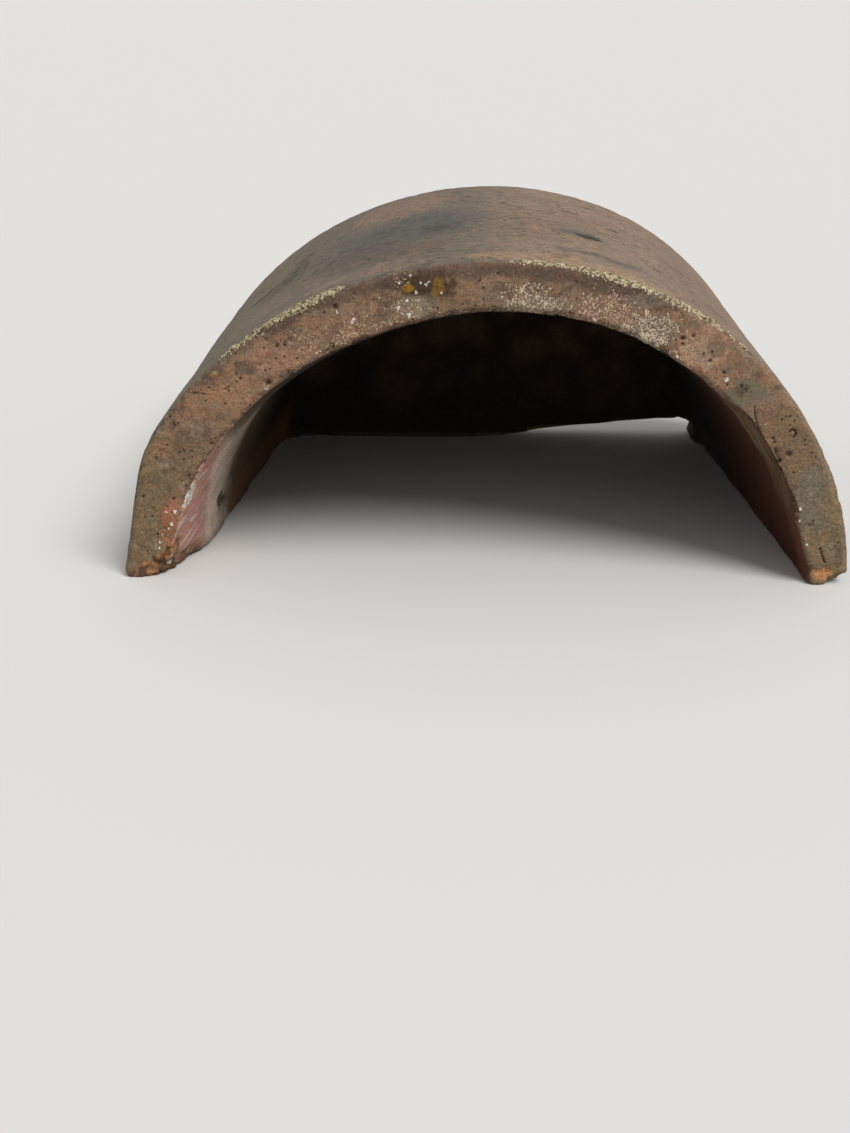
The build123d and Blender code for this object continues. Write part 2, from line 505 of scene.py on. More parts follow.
def punch_pits(clay):
    """The larger pits and three pebbles by place, then many small pits by chance."""
    named = (
        (-74.5, 72.2, 1.7, 1.3),
        (-71.0, 85.0, 1.0, 0.8),
        (-68.5, 85.3, 0.8, 0.7),
        (-65.0, 96.0, 0.9, 0.7),
        (-51.0, 98.5, 1.2, 0.7),
        (-52.5, 84.8, 1.6, 0.9),
        (-109.5, 30.0, 1.0, 0.5),
        (-84.0, 73.5, 0.9, 0.6),
        (65.5, 88.5, 1.1, 1.0),
        (65.5, 86.6, 0.9, 0.8),
        (69.0, 89.5, 0.8, 0.6),
        (64.5, 82.5, 0.8, 0.6),
        (75.0, 81.0, 1.0, 0.5),
        (80.0, 76.8, 0.9, 0.8),
        (28.0, 96.7, 1.3, 0.7),
        (104.4, 48.4, 1.5, 0.5),
        (101.3, 46.0, 1.2, 0.7),
        (86.2, 72.4, 0.9, 0.6),
        (87.8, 71.0, 1.0, 0.7),
        (86.6, 70.2, 0.7, 0.5),
        (109.5, 51.5, 0.7, 0.6),
    )
    for x, z, radius, deep in named:
        clay.dig((x, mouth_y, z), radius, deep)
    pebbles = ((81.2, 74.6, 1.2, 0.8), (35.5, 94.2, 1.2, 0.6), (-75.2, 70.0, 1.0, 0.5))
    for x, z, radius, tall in pebbles:
        clay.dig((x, mouth_y, z), radius, -tall)
        clay.cover("chalk", 0.6 * clay.on_mouth(x, z, radius * 0.9, radius * 0.8))
    left_pits = clay.mouth * (clay.x < -60) * step(30, 45, clay.z)
    right_pits = clay.mouth * (clay.x > 60) * step(25, 50, clay.z) * 0.5
    other_pits = clay.mouth * 0.2
    clustered = step(-0.1, 0.45, clay.medium) + 0.1
    pits = (left_pits + right_pits + other_pits) * clustered
    candidates = np.nonzero(pits > 0.02)[0].tolist()
    for index in chance.choices(candidates, pits[candidates].tolist(), k=pit_count):
        radius = 0.3 + 0.6 * chance.random() ** 3
        clay.dig(clay.points[index], radius, radius * 0.75, dark=chance.uniform(0.2, 0.7))


def dent_skin(clay):
    """Shallow dents in the skin by chance."""
    candidates = np.nonzero(clay.outer > 0.9)[0].tolist()
    for index in chance.sample(candidates, dent_count):
        radius = chance.uniform(1.5, 3.2)
        clay.dig(clay.points[index], radius, 0.12 * radius, dark=0.12)


# Colour


def patch(clay, where, rows):
    """Paint ragged patches. Each row is a colour, a place, the half sizes and a strength."""
    for colour, a, b, wide, tall, strength in rows:
        clay.paint(colour, strength * where(a, b, wide, tall))


def paint_mouth(clay):
    """The mouth face's broad colours, from the left foot over the crown to the right foot."""
    x, z, mouth = clay.x, clay.z, clay.front
    clay.paint(BROWN, mouth)
    clay.paint(TERRACOTTA, mouth * step(-0.35, 0.35, clay.medium) * 0.6)
    low_down = mouth * step(66, 50, z + 6 * clay.broad)
    left_leg = low_down * (x < 0)
    clay.paint(OLIVE_BROWN, left_leg)
    clay.paint(KHAKI, left_leg * step(-104, -116, x + 4 * clay.medium) * 0.9)
    haunch = mouth * (x < 0) * step(52, 62, z) * step(-58, -72, x)
    clay.paint(TERRACOTTA, haunch * step(-0.7, 0.2, clay.medium) * 0.85)
    clay.paint(SMOKE_AND_SHADE, haunch * step(4.5, 1.5, clay.from_outer + 2 * clay.medium) * 0.6)
    crown_left = mouth * step(-78, -66, x) * (x < -8)
    clay.paint(BROWN, crown_left * 0.75)
    left_band = crown_left * step(6.0, 3.0, clay.from_outer + 1.5 * clay.medium)
    clay.paint(MAUVE, left_band)
    right_leg = low_down * (x > 0)
    clay.paint(OLIVE_BROWN, right_leg * 0.8)
    clay.paint(KHAKI, right_leg * step(48, 32, z + 5 * clay.medium))
    crown_right = mouth * (x > -8) * step(66, 52, x)
    clay.paint(BROWN, crown_right * 0.6)
    right_band = crown_right * step(6.5, 4.0, clay.from_outer + 1.2 * clay.medium)
    clay.paint(MAUVE, right_band)
    mottle = fractal(clay.points, 4.5, shift=41.0) + 0.4 * clay.ragged
    plain = mouth * (1 - 0.8 * right_band) * (1 - 0.8 * left_band)
    clay.paint(DUST_AND_HIGHLIGHT, plain * step(0.15, 0.55, mottle) * 0.35)
    reddish = 0.15 + 0.2 * step(55, 75, z)
    grains = step(0.1, 0.5, clay.ragged + 0.5 * clay.medium)
    clay.paint(RED_CLAY, plain * grains * reddish)
    clay.paint(SMOKE_AND_SHADE, plain * step(-0.12, -0.6, mottle) * 0.5)
    patch(
        clay,
        clay.on_mouth,
        (
            (KHAKI, -121, 28, 8, 24, 0.5),
            (BRICK, -109.5, 20, 4.8, 9.5, 0.95),
            (ROSE, -109.5, 27, 2.6, 3.4, 0.3),
            (RUST, -112, 16, 2.6, 4.5, 0.4),
            (ORANGE, -109, 22, 2.2, 6, 0.4),
            (ORANGE, -112, 13, 4, 5, 0.5),
            (ORANGE, -112, 47.8, 3.8, 3.2, 0.7),
            (DUST_AND_HIGHLIGHT, -111, 43, 2.4, 1.6, 0.8),
            (DUST_AND_HIGHLIGHT, -110, 38, 1.4, 1.4, 0.5),
            (CREAM, -117, 12, 0.7, 1.2, 0.4),
            (KHAKI, -104, 46, 5, 6, 0.5),
            (SMOKE_AND_SHADE, -105, 52, 3, 4, 0.35),
            (DUST_AND_HIGHLIGHT, -100, 56, 2.5, 4, 0.35),
            (ORANGE, -98, 66, 5, 7, 0.35),
            (ORANGE, -88, 68, 8, 8, 0.5),
            (RED_CLAY, -75, 80, 6, 4, 0.5),
            (SMOKE_AND_SHADE, -82, 77.5, 4.2, 2.6, 0.55),
            (SMOKE_AND_SHADE, -73, 82, 2.2, 1.6, 0.4),
            (SMOKE_AND_SHADE, -98, 72.5, 6, 2.0, 0.5),
            (OCHRE, -93, 75, 1.6, 0.9, 0.4),
            (CREAM, -92.6, 75.6, 1.1, 0.6, 0.5),
            (SMOKE_AND_SHADE, -22, 105, 9, 5.0, 0.9),
            (PEAT, -20, 105.5, 9.5, 4.8, 0.85),
            (SMOKE_AND_SHADE, -34, 107, 5, 2.5, 0.6),
            (KHAKI, -20, 99, 8, 4, 0.6),
            (DUST_AND_HIGHLIGHT, -24, 98.5, 6, 4, 0.75),
            (RED_CLAY, -66, 82, 8, 5, 0.6),
            (RED_CLAY, -48, 90, 14, 5, 0.4),
            (DUST_AND_HIGHLIGHT, 17, 99.5, 13, 3.2, 0.85),
            (DUST_AND_HIGHLIGHT, 56, 91, 8, 6, 0.8),
            (RED_CLAY, 38, 97, 12, 5, 0.6),
            (MAUVE, 36, 106, 9, 2.4, 0.7),
            (DUST_AND_HIGHLIGHT, 52, 101, 7, 2.6, 0.6),
            (RED_CLAY, 72, 84, 10, 8, 0.95),
            (CREAM, 72, 84, 8, 6, 0.25),
            (MAUVE, 77, 86, 3, 4, 0.5),
            (GREY_GREEN, 89, 70, 7.5, 4.5, 0.75),
            (SMOKE_AND_SHADE, 86.5, 71, 2.6, 2.2, 0.6),
            (ORANGE, 96, 75, 3, 3, 0.5),
            (ORANGE, 100, 57, 6, 5, 0.35),
            (ORANGE, 106, 45, 3, 3, 0.45),
            (KHAKI, 104, 52, 9, 14, 0.4),
            (DUST_AND_HIGHLIGHT, 92, 60, 2, 3, 0.35),
            (SMOKE_AND_SHADE, 104, 48.5, 1.6, 1.3, 0.7),
            (SMOKE_AND_SHADE, 101, 46, 1.3, 1.1, 0.6),
            (GREY_GREEN, 114, 33, 5.5, 13, 0.8),
            (GREY_GREEN, 123.5, 16, 2.5, 7, 0.5),
            (DUST_AND_HIGHLIGHT, 112, 38, 4, 5, 0.5),
            (KHAKI, 121, 20, 7, 14, 0.5),
            (SMOKE_AND_SHADE, 125, 12, 1.6, 5, 0.4),
        ),
    )
    clay.paint(OCHRE, 0.95 * clay.on_mouth(-26.8, 105, 1.6, 1.9, rough=0.9))
    clay.paint(OCHRE, 0.5 * clay.on_mouth(-16.2, 105.5, 2.0, 3.0, rough=0.8))


def paint_right_foot_fracture(clay):
    """Fresh orange clay where the right foot's tip has broken off."""
    fresh = clay.on_mouth(120.3, 4.4, 3.5, 2.5, rough=0.45)
    clay.paint(FRESH, fresh)
    clay.paint(RUST, fresh * step(0.15, 0.5, clay.ragged) * 0.8)
    clay.height -= 0.5 * fresh


def sprinkle_mouth(clay):
    """Chalk-white flecks and one long chip, by place."""
    spots = (
        (-26.7, 107.4, 0.7),
        (-25.8, 109.2, 0.6),
        (-24.0, 103.4, 0.7),
        (-22.4, 106.6, 0.5),
        (-20.8, 105.9, 0.6),
        (-19.6, 106.9, 0.6),
        (-29.5, 106.5, 0.6),
        (-36.0, 101.5, 0.6),
        (-27.0, 100.2, 0.6),
        (-28.5, 96.8, 0.9),
        (-26.6, 96.0, 0.8),
        (-29.8, 98.0, 0.6),
        (-15.5, 103.4, 0.6),
        (-50.5, 96.8, 0.5),
        (-45.0, 93.5, 0.7),
        (-114.6, 16.5, 0.4),
        (-111.8, 18.3, 0.7),
        (-110.8, 20.2, 0.6),
        (-107.5, 26.0, 0.7),
        (-109.5, 25.2, 0.7),
        (-112.5, 24.6, 0.5),
        (-116.0, 11.5, 0.5),
        (-115.5, 13.6, 0.4),
        (110.1, 28.6, 0.6),
        (107.2, 29.9, 0.5),
        (110.0, 24.0, 0.5),
        (102.5, 41.6, 0.5),
        (101.1, 43.9, 0.4),
        (95.5, 59.1, 0.4),
        (113.5, 15.0, 0.4),
        (92.4, 57.0, 0.6),
        (94.5, 55.6, 0.6),
        (61.5, 83.5, 0.7),
        (64.0, 82.0, 0.5),
    )
    for x, z, radius in spots:
        white = clay.on_mouth(x, z, radius, radius * 1.3, rough=0.5)
        clay.cover("chalk", 0.66 * white)
        clay.height += 0.15 * white
    chip = clay.along(((-102.2, 34.0), (-103.8, 30.5), (-105.6, 27.0)), 1.9)
    clay.cover("chalk", 0.72 * chip)
    clay.height -= 0.3 * chip


def set_masks(clay):
    """How thickly the cream specks and the small dark grit lie."""
    mouth = clay.front
    clay.cover("grit", mouth * 0.3 * step(-0.2, 0.5, clay.medium))
    clay.cover("grit", mouth * (clay.x < -60) * 0.5 * step(-0.4, 0.4, clay.medium))
    clay.cover("specks", mouth * 0.1)
    rows = (
        (-52, 86, 20, 7, 0.5),
        (-28, 97, 9, 6, 0.6),
        (-29, 107, 3, 3.5, 0.75),
        (-62, 86, 6, 4, 0.65),
        (-44, 92, 7, 4, 0.65),
        (16, 99.5, 14, 3.4, 0.9),
        (14, 104, 9, 3.0, 0.75),
        (38, 98, 13, 6.5, 0.8),
        (56, 91, 9, 7, 0.95),
        (46, 93, 8, 4, 0.9),
        (66, 83, 7, 6, 0.6),
        (-110, 45, 5, 8, 0.25),
        (-119, 30, 6, 12, 0.25),
        (-116, 14, 6, 8, 0.25),
        (107, 40, 7, 9, 0.35),
        (95, 60, 5, 6, 0.3),
    )
    for x, z, wide, tall, amount in rows:
        clay.cover("specks", amount * clay.on_mouth(x, z, wide, tall, rough=0.6))
    crown = ((-66, 76), (-52, 86), (-30, 94), (0, 97.5), (28, 96.5), (45, 92), (68, 79))
    clay.cover("specks", 0.7 * clay.along(crown, 2.8))


def grow_lichen(clay):
    """A crust along the outer arris: thin on the left, thick on the right of the crown. A painted
    shadow darkens the face just under it.
    """
    x = clay.x
    left = 6.8 * step(-95, -86, x) * step(-46, -52, x) * (0.6 + 0.4 * step(-80, -68, x))
    right = 6.6 * step(4, 9, x) * step(101, 78, x) * (0.5 + 0.5 * step(84, 64, x))
    right *= 0.6 + 0.4 * step(20, 40, x)
    middle = 0.5 * step(-52, -48, x) * step(-14, -18, x)
    width = (left + right + middle) * (1.0 + 0.3 * clay.medium)
    across = np.where(clay.mouth > 0.5, -clay.from_outer * 1.3, clay.depth)
    near = (clay.depth < measured_depth) * np.maximum(clay.mouth, clay.outer)
    outside = np.abs(across - 0.3 * width) / (0.5 * width + 0.01)
    crust = step(1.6, 0.5, outside) * near * (width > 0.2)
    clay.cover("lichen", crust * (0.88 + 0.45 * (x < 0)))
    clay.cover("lichen", 0.25 * step(2.4, 1.2, outside) * near * (width > 0.4))
    crumbs = np.zeros(len(x))
    crumbs[crust > 0] = fractal(clay.points[crust > 0], 1.3, shift=31.0)
    clay.height += crust * np.clip(0.35 + 0.7 * crumbs, 0, 1.0)
    # A band on the face just under the crust is painted dark: painted shadow of the crust.
    under = step(0.5, 1.5, clay.from_outer) * step(4.5, 2.5, clay.from_outer) * clay.mouth
    left_shade = step(-86, -78, x) * step(-56, -64, x)
    right_shade = 0.4 * step(8, 14, x) * step(66, 58, x)
    dark = under * (left_shade + right_shade)
    clay.paint(SMOKE_AND_SHADE, dark * step(-0.2, 0.3, clay.ragged) * 0.85)


def paint_skin(clay):
    """The outer skin: mauve and olive on the left, warm on the right, darkened by weather. The
    left half is also darker by painted shade.
    """
    x, outer = clay.x, clay.outer
    # The left half is painted darker than the right: partly greyer clay, partly painted shade.
    clay.paint(TOP_LEFT_SHADED, outer)
    clay.paint(TOP_RIGHT, outer * step(-16, 22, x + 12 * clay.broad + 8 * clay.medium))
    clay.paint(TOP_OLIVE, outer * step(-66, -98, x + 8 * clay.medium))
    clay.paint(TOP_MAUVE, outer * step(0.0, 0.7, clay.broad) * 0.45)
    clay.paint(TOP_ROSE, outer * step(-0.15, -0.6, clay.broad + 0.3 * clay.medium) * 0.35)
    clay.cover("polish", outer * 0.5)
    patch(
        clay,
        clay.on_top,
        (
            (TOP_WARM, 30, -86, 36, 9, 0.7),
            (MAUVE, 76, -40, 14, 36, 0.2),
            (TOP_ROSE, -36, 60, 20, 28, 0.8),
            (TOP_ROSE, -54, -84, 34, 9, 0.3),
            (TOP_ROSE, -70, -55, 20, 14, 0.3),
            (BLUE_GREY, -30, -12, 24, 34, 0.85),
            (BLUE_GREY, -14, 6, 16, 20, 0.45),
            (BLUE_GREY, -54, 0, 18, 26, 0.4),
            (SMOKE_AND_SHADE, -36, -56, 22, 14, 0.6),
            (SMOKE_AND_SHADE, -50, -36, 18, 14, 0.65),
            (DUST_AND_HIGHLIGHT, -56, -78, 8, 5, 0.3),
            (BLUE_GREY, -50, -40, 15, 13, 0.35),
            (BLUE_GREY, 36, -17, 9, 7, 0.65),
            (MAUVE, 16, -15, 14, 34, 0.3),
            (MAUVE, 40, 25, 18, 14, 0.25),
            (MAUVE, 80, 20, 14, 40, 0.25),
        ),
    )


def stain_skin(clay):
    """Ragged stains with soft borders: dark olive ones on the left, blue-grey on the right."""
    stains = (
        (DARK_OLIVE, -18, -18, 6, 8, 0.85),
        (DARK_OLIVE, -75, 16, 3.5, 20, 0.6),
        (DARK_OLIVE, -77, -5, 4.5, 12, 0.65),
        (DARK_OLIVE, -81, -17, 4.5, 8, 0.6),
        (DARK_OLIVE, -87, -3, 7, 5, 0.45),
        (BLUE_GREY, 27, -60, 4.5, 4, 0.65),
        (BLUE_GREY, 36, -57, 4.0, 4, 0.65),
        (BLUE_GREY, 47, -62, 6.0, 4, 0.75),
        (BLUE_GREY, 54, -58, 3.0, 3, 0.5),
    )
    for colour, x, y, wide, long, strength in stains:
        clay.paint(colour, strength * clay.on_top(x, y, wide, long, rough=1.0, soft=0.6))


def grow_moss(clay):
    """Dark marks on the skin: thin lines down the left haunch, spots and small dashes."""
    lines = (
        (((-72.7, 34.7), (-75.5, 32.6), (-78.1, 30.4)), 3.4, 0.8),
        (((-71.8, 16.0), (-71.4, -9.8), (-72.0, -25.0)), 2.4, 0.45),
        (((-76.0, 6.0), (-79.0, 15.0)), 2.6, 0.55),
        (((-81.4, 3.1), (-85.0, 2.5), (-87.0, -3.4), (-89.9, -1.9), (-93.1, 2.1)), 3.4, 0.8),
    )
    for path, width, strength in lines:
        line = clay.along_top(path, width)
        clay.cover("moss", strength * line)
        clay.height -= 0.2 * line
    marks = (
        (-54, -12, 2.8, 1.3),
        (-64, -12, 2.4, 1.2),
        (-56, 5, 2.2, 1.2),
        (-60, 35, 2.4, 1.4),
        (-37, 30, 2.6, 1.2),
        (-42, -55, 2.6, 1.4),
        (38.5, -18, 5.0, 4.4),
        (33, 40, 2.6, 1.8),
        (37, 38, 2.6, 1.4),
        (52, 20, 3.6, 1.3),
        (20, 75, 2.6, 1.4),
        (35, 62, 2.4, 1.4),
        (43, 68, 3.4, 1.6),
        (69, 40, 3.4, 1.4),
        (74, -5, 3.0, 1.4),
        (62, -40, 3.2, 1.3),
        (55, -7, 2.6, 1.4),
        (57, -17, 2.4, 1.3),
        (12, 0, 2.4, 1.2),
        (18, -5, 2.4, 1.2),
    )
    for x, y, wide, long in marks:
        mark = clay.on_top(x, y, wide, long, rough=0.5, soft=0.7)
        clay.cover("moss", (0.5 + 0.1 * wide) * mark)
        clay.height -= 0.2 * mark
    largest_spot = clay.on_top(38.8, -18, 3.0, 4.2)
    clay.cover("moss", largest_spot)
    clusters = step(-0.3, 0.5, fractal(clay.points, 16, shift=51.0))
    crown = step(40, 80, clay.z)
    clay.cover("dashes", clay.outer * (0.2 + 0.55 * crown * clusters + 0.1 * clusters))


def paint_inside(clay):
    """Rose clay and lime streaks just inside the left leg, rust on the right, and painted shade
    deep in.
    """
    x, z, depth, inner = clay.x, clay.z, clay.depth, clay.inner
    inside = (1 - clay.outer) * (1 - clay.back) * (1 - clay.under)
    # The whole inside past the mouth is painted nearly black: painted shade.
    clay.paint(INSIDE_SHADE, inside * step(1.1, 2.5, depth))
    left = inner * (x < 0)
    grey = left * step(72, 54, z) * step(150, 50, depth)
    clay.paint(KHAKI, grey * 0.42)
    rusty = left * step(20, 8, z + 3 * clay.medium) * step(50, 75, depth)
    clay.paint(RUST, rusty * 0.7)
    reach = depth - 0.55 * (52 - z) + 2 * clay.medium
    rose = left * step(60, 48, z) * step(9, -3, reach + 2 * clay.ragged)
    pale = left * step(58, 42, z) * step(-3, 7, reach)
    pale *= step(68, 34, depth + 8 * clay.medium)
    clay.paint(LIME, pale * (0.95 + 0.5 * clay.medium))
    clay.paint(ROSE, rose * 0.95)
    beyond_rose = left * step(66, 54, z) * step(3, 8, reach) * step(90, 40, depth)
    clay.cover("streaks", beyond_rose * 0.7)
    clay.cover("streaks", rose * 0.75)
    clay.cover("polish", left * step(60, 20, depth) * 0.5)
    holes = ((14.5, 44.0, 1.8, 6.0), (11.5, 51.0, 2.6, 9.0))
    for up, behind, tall, long in holes:
        hole = clay.inside_left(up, behind, tall, long, rough=0.6)
        # The holes are darkened through the pit mask: partly dirt, partly painted shade.
        clay.cover("pit", hole)
        clay.height -= 0.8 * hole
    right = inner * (x > 0) * step(74, 56, z)
    clay.paint(MAROON, right * step(130, 50, depth) * 0.9)
    clay.paint(RUST, right * step(16, 2, depth) * 0.4)
    clay.cover("streaks", right * step(60, 20, depth) * 0.25)


def paint_ends(clay):
    """The end wall's two faces, the edges round it and the undersides of the feet."""
    wall = clay.end_wall
    # The end wall's inner face is painted nearly black: painted shade.
    clay.paint(INSIDE_SHADE, wall)
    # Dull patches on its upper part only, so the wall is darker towards the bottom.
    above = step(18, 44, clay.z + 14 * clay.broad)
    blotches = step(-0.35, 0.4, clay.broad + 0.5 * clay.medium + 0.2 * clay.ragged)
    clay.paint(OLIVE_BROWN, wall * above * (0.04 + 0.26 * blotches))
    back = clay.back
    stain = clay.broad + 0.5 * clay.medium + 0.25 * clay.ragged
    clay.paint(BROWN, back)
    clay.paint(TERRACOTTA, back * step(-0.3, 0.5, clay.medium + 0.4 * clay.ragged) * 0.7)
    clay.paint(RED_CLAY, back * step(0.2, 0.7, clay.ragged + clay.medium) * 0.4)
    clay.paint(MAUVE, back * step(88, 108, clay.z + 14 * stain) * 0.7)
    clay.paint(KHAKI, back * step(50, 12, clay.z + 26 * stain) * 0.75)
    clay.paint(SMOKE_AND_SHADE, back * step(-0.25, -0.7, stain) * 0.45)
    clay.cover("specks", back * (0.15 + 0.3 * step(0.1, 0.6, stain)))
    clay.cover("grit", back * 0.3 * step(-0.2, 0.5, clay.medium))
    chips = step(0.25, 0.5, clay.ragged) * step(9, 3, high[2] - np.hypot(clay.x, clay.z))
    clay.paint(ORANGE, back * chips * 0.5)
    clay.paint(OLIVE_BROWN, clay.under * 0.8)
    clay.paint(SMOKE_AND_SHADE, clay.under * step(0.0, 0.5, clay.medium) * 0.7)


# Material


class Shader:
    """Short ways to add nodes to one material."""

    def __init__(self, name):
        self.material = bpy.data.materials.new(name)
        self.material.use_nodes = True
        self.tree = self.material.node_tree
        self.surface = self.tree.nodes["Principled BSDF"]
        place = self.tree.nodes.new("ShaderNodeTexCoord")
        self.place = place.outputs["Object"]

    def add(self, kind, inputs, **settings):
        """A node with these settings, its sockets set to values or linked to outputs."""
        made = self.tree.nodes.new("ShaderNode" + kind)
        for name, value in settings.items():
            setattr(made, name, value)
        for name, value in inputs.items():
            if isinstance(value, bpy.types.NodeSocket):
                self.tree.links.new(value, made.inputs[name])
            else:
                made.inputs[name].default_value = value
        return made

    def math(self, operation, a, b, clamp=False):
        """One calculation with two values or outputs."""
        return self.add("Math", {0: a, 1: b}, operation=operation, use_clamp=clamp).outputs[0]

    def plus(self, a, b):
        return self.math("ADD", a, b)

    def minus(self, a, b):
        return self.math("SUBTRACT", a, b)

    def times(self, a, b):
        return self.math("MULTIPLY", a, b)

    def uneven(self, value, much):
        """A noise moved to swing about 0, with this strength."""
        return self.times(self.minus(value, 0.5), much)

    def mask(self, name):
        """One of the masks that are painted on the mesh."""
        return self.add("Attribute", {}, attribute_name=name).outputs["Fac"]

    def ragged_mask(self, name, edge, start, end, fade):
        """A painted mask with a ragged edge, and nothing where the mask is empty."""
        mask = self.mask(name)
        weight = self.rise(self.plus(mask, edge), start, end)
        return self.times(weight, self.rise(mask, 0.0, fade))

    def stretched(self, stretch):
        """Object coordinates in which a pattern comes out this much longer on each axis."""
        scale = [1 / s for s in stretch]
        inputs = {0: self.place, 1: scale}
        return self.add("VectorMath", inputs, operation="MULTIPLY").outputs[0]

    def noise(self, size, detail=3.0, roughness=0.6, stretch=(1, 1, 1)):
        """Noise between 0 and 1 with features of this size in millimetres."""
        inputs = {
            "Vector": self.stretched(stretch),
            "Scale": 1 / (size * MM),
            "Detail": detail,
            "Roughness": roughness,
        }
        return self.add("TexNoise", inputs).outputs["Fac"]

    def cells(self, size):
        """Each point's distance from its cell's middle, and the cell's random number."""
        cell = self.add("TexVoronoi", {"Vector": self.place, "Scale": 1 / (size * MM)})
        number = self.add("SeparateColor", {0: cell.outputs["Color"]}).outputs[0]
        return cell.outputs["Distance"], number

    def rise(self, value, start, end):
        """A smooth rise from 0 at start to 1 at end."""
        inputs = {"Value": value, "From Min": start, "From Max": end}
        made = self.add("MapRange", inputs, interpolation_type="SMOOTHSTEP")
        return made.outputs["Result"]

    def mix(self, weight, below, above, blend="MIX"):
        """One colour over another, by this weight."""
        made = self.add("Mix", {}, data_type="RGBA", blend_type=blend)
        for index, value in ((0, weight), (6, below), (7, above)):
            if isinstance(value, bpy.types.NodeSocket):
                self.tree.links.new(value, made.inputs[index])
            elif index == 0:
                made.inputs[0].default_value = value
            else:
                made.inputs[index].default_value = (*value, 1.0)
        return made.outputs[2]

    def tinted(self, colour, tint):
        """A colour multiplied by a tint."""
        return self.mix(1.0, colour, tint, "MULTIPLY")

    def spots(self, size, density, radius, ragged):
        """Ragged spots in the share of cells that the density gives."""
        distance, number = self.cells(size)
        chosen = self.math("LESS_THAN", number, density)
        inside = self.rise(self.plus(distance, ragged), radius, radius * 0.72)
        return self.times(chosen, inside)


def fired_clay():
    """Clay with grain, grit and cream specks under dirt, moss and lichen."""
    shader = Shader("fired clay")
    fine = shader.noise(0.75, 2)
    coarse = shader.noise(3.4, 3, 0.65)
    granules = shader.noise(1.15, 2, 0.6)
    colour = grain(shader, fine, coarse)
    colour = weather(shader, colour, granules)
    colour = grit_and_pit_shade(shader, colour, granules)
    colour, speck = specks(shader, colour, coarse)
    colour = streaks(shader, colour)
    colour, moss = moss_marks(shader, colour, granules)
    colour = chalk(shader, colour, granules)
    colour, crust = lichen_crust(shader, colour, granules, fine)
    shader.tree.links.new(colour, shader.surface.inputs["Base Color"])
    roughness(shader, crust, fine, moss)
    relief(shader, fine, coarse, speck, crust)
    return shader.material


def grain(shader, fine, coarse):
    """Light and dark grains, and a slow drift between greyer and redder clay."""
    tone = shader.add("Attribute", {}, attribute_name="tone").outputs["Color"]
    light = shader.tinted(tone, LIGHT_GRAIN)
    dark = shader.tinted(tone, DARK_GRAIN)
    grains = shader.mix(shader.rise(fine, 0.3, 0.7), dark, light)
    red = shader.tinted(grains, REDDER)
    grey = shader.tinted(grains, GREYER)
    return shader.mix(shader.rise(coarse, 0.36, 0.64), grey, red)


def weather(shader, colour, granules):
    """Small dark spots on the skin, and a soft banding round it."""
    density = shader.mask("dashes")
    band = shader.noise(2.2, 4, 0.65, stretch=(1.8, 1, 1.8))
    pale = shader.tinted(colour, PALE_BAND)
    deep = shader.tinted(colour, DEEP_BAND)
    banded = shader.mix(shader.rise(band, 0.68, 0.34), deep, pale)
    colour = shader.mix(shader.rise(density, 0.0, 0.5), colour, banded)
    ragged = shader.uneven(granules, 0.9)
    large = shader.spots(3.4, shader.times(density, 0.2), 0.3, ragged)
    small = shader.spots(1.9, shader.times(density, 0.26), 0.36, ragged)
    spot = shader.math("MAXIMUM", large, small)
    return shader.mix(shader.times(spot, 0.8), colour, DARK_SPOT)


def grit_and_pit_shade(shader, colour, granules):
    """Small dark pits in the clay, and dirt with painted shade in the larger pits and the grooves.
    """
    density = shader.times(shader.mask("grit"), 0.4)
    small = shader.spots(1.4, density, 0.4, shader.uneven(granules, 0.8))
    large = shader.ragged_mask("pit", shader.uneven(granules, 1.6), 0.4, 0.75, 0.25)
    pits = shader.math("MAXIMUM", small, large)
    return shader.mix(shader.times(pits, 0.8), colour, DARK_GRIT_AND_PIT_SHADE)


def specks(shader, colour, coarse):
    """Ragged cream specks of sand and lime on darker clay, under a millimetre wide."""
    density = shader.mask("specks")
    sand = shader.noise(0.68, 3, 0.6)
    cut = shader.minus(0.75, shader.times(density, 0.27))
    over = shader.plus(shader.minus(sand, cut), shader.uneven(coarse, 0.3))
    weight = shader.times(shader.rise(over, 0.0, 0.045), shader.rise(density, 0.0, 0.1))
    gaps = shader.times(shader.rise(over, -0.02, -0.16), density)
    colour = shader.mix(gaps, colour, shader.tinted(colour, BETWEEN_SPECKS))
    shade = shader.mix(shader.rise(coarse, 0.4, 0.6), ROSY_SPECK, CREAM_SPECK)
    strength = shader.plus(0.46, shader.times(density, 0.5))
    return shader.mix(shader.times(weight, strength), colour, shade), weight


def streaks(shader, colour):
    """Pale lime streaks along the inside, rising towards the back."""
    width = 2.2
    lengthening = 5  # how many times longer than wide a streak is
    slope = 0.6
    axes = shader.add("SeparateXYZ", {0: shader.place}).outputs
    across = shader.minus(axes[2], shader.times(axes[1], slope))
    along = shader.times(axes[1], 1 / lengthening)
    inputs = {
        "Vector": shader.add("CombineXYZ", {0: 0.0, 1: along, 2: across}).outputs[0],
        "Scale": 1 / (width * MM),
        "Detail": 4.0,
        "Roughness": 0.7,
    }
    lines = shader.add("TexNoise", inputs).outputs["Fac"]
    cut = shader.minus(0.72, shader.times(shader.mask("streaks"), 0.26))
    weight = shader.rise(shader.minus(lines, cut), 0.0, 0.07)
    return shader.mix(shader.times(weight, 0.65), colour, LIME_STREAK)


def moss_marks(shader, colour, granules):
    """Nearly black marks with ragged edges."""
    weight = shader.ragged_mask("moss", shader.uneven(granules, 1.8), 0.35, 0.7, 0.3)
    return shader.mix(shader.times(weight, 0.92), colour, MOSS), weight


def chalk(shader, colour, granules):
    """White flecks and chips with ragged edges."""
    weight = shader.ragged_mask("chalk", shader.uneven(granules, 2.4), 0.5, 0.65, 0.3)
    return shader.mix(weight, colour, CHALK)


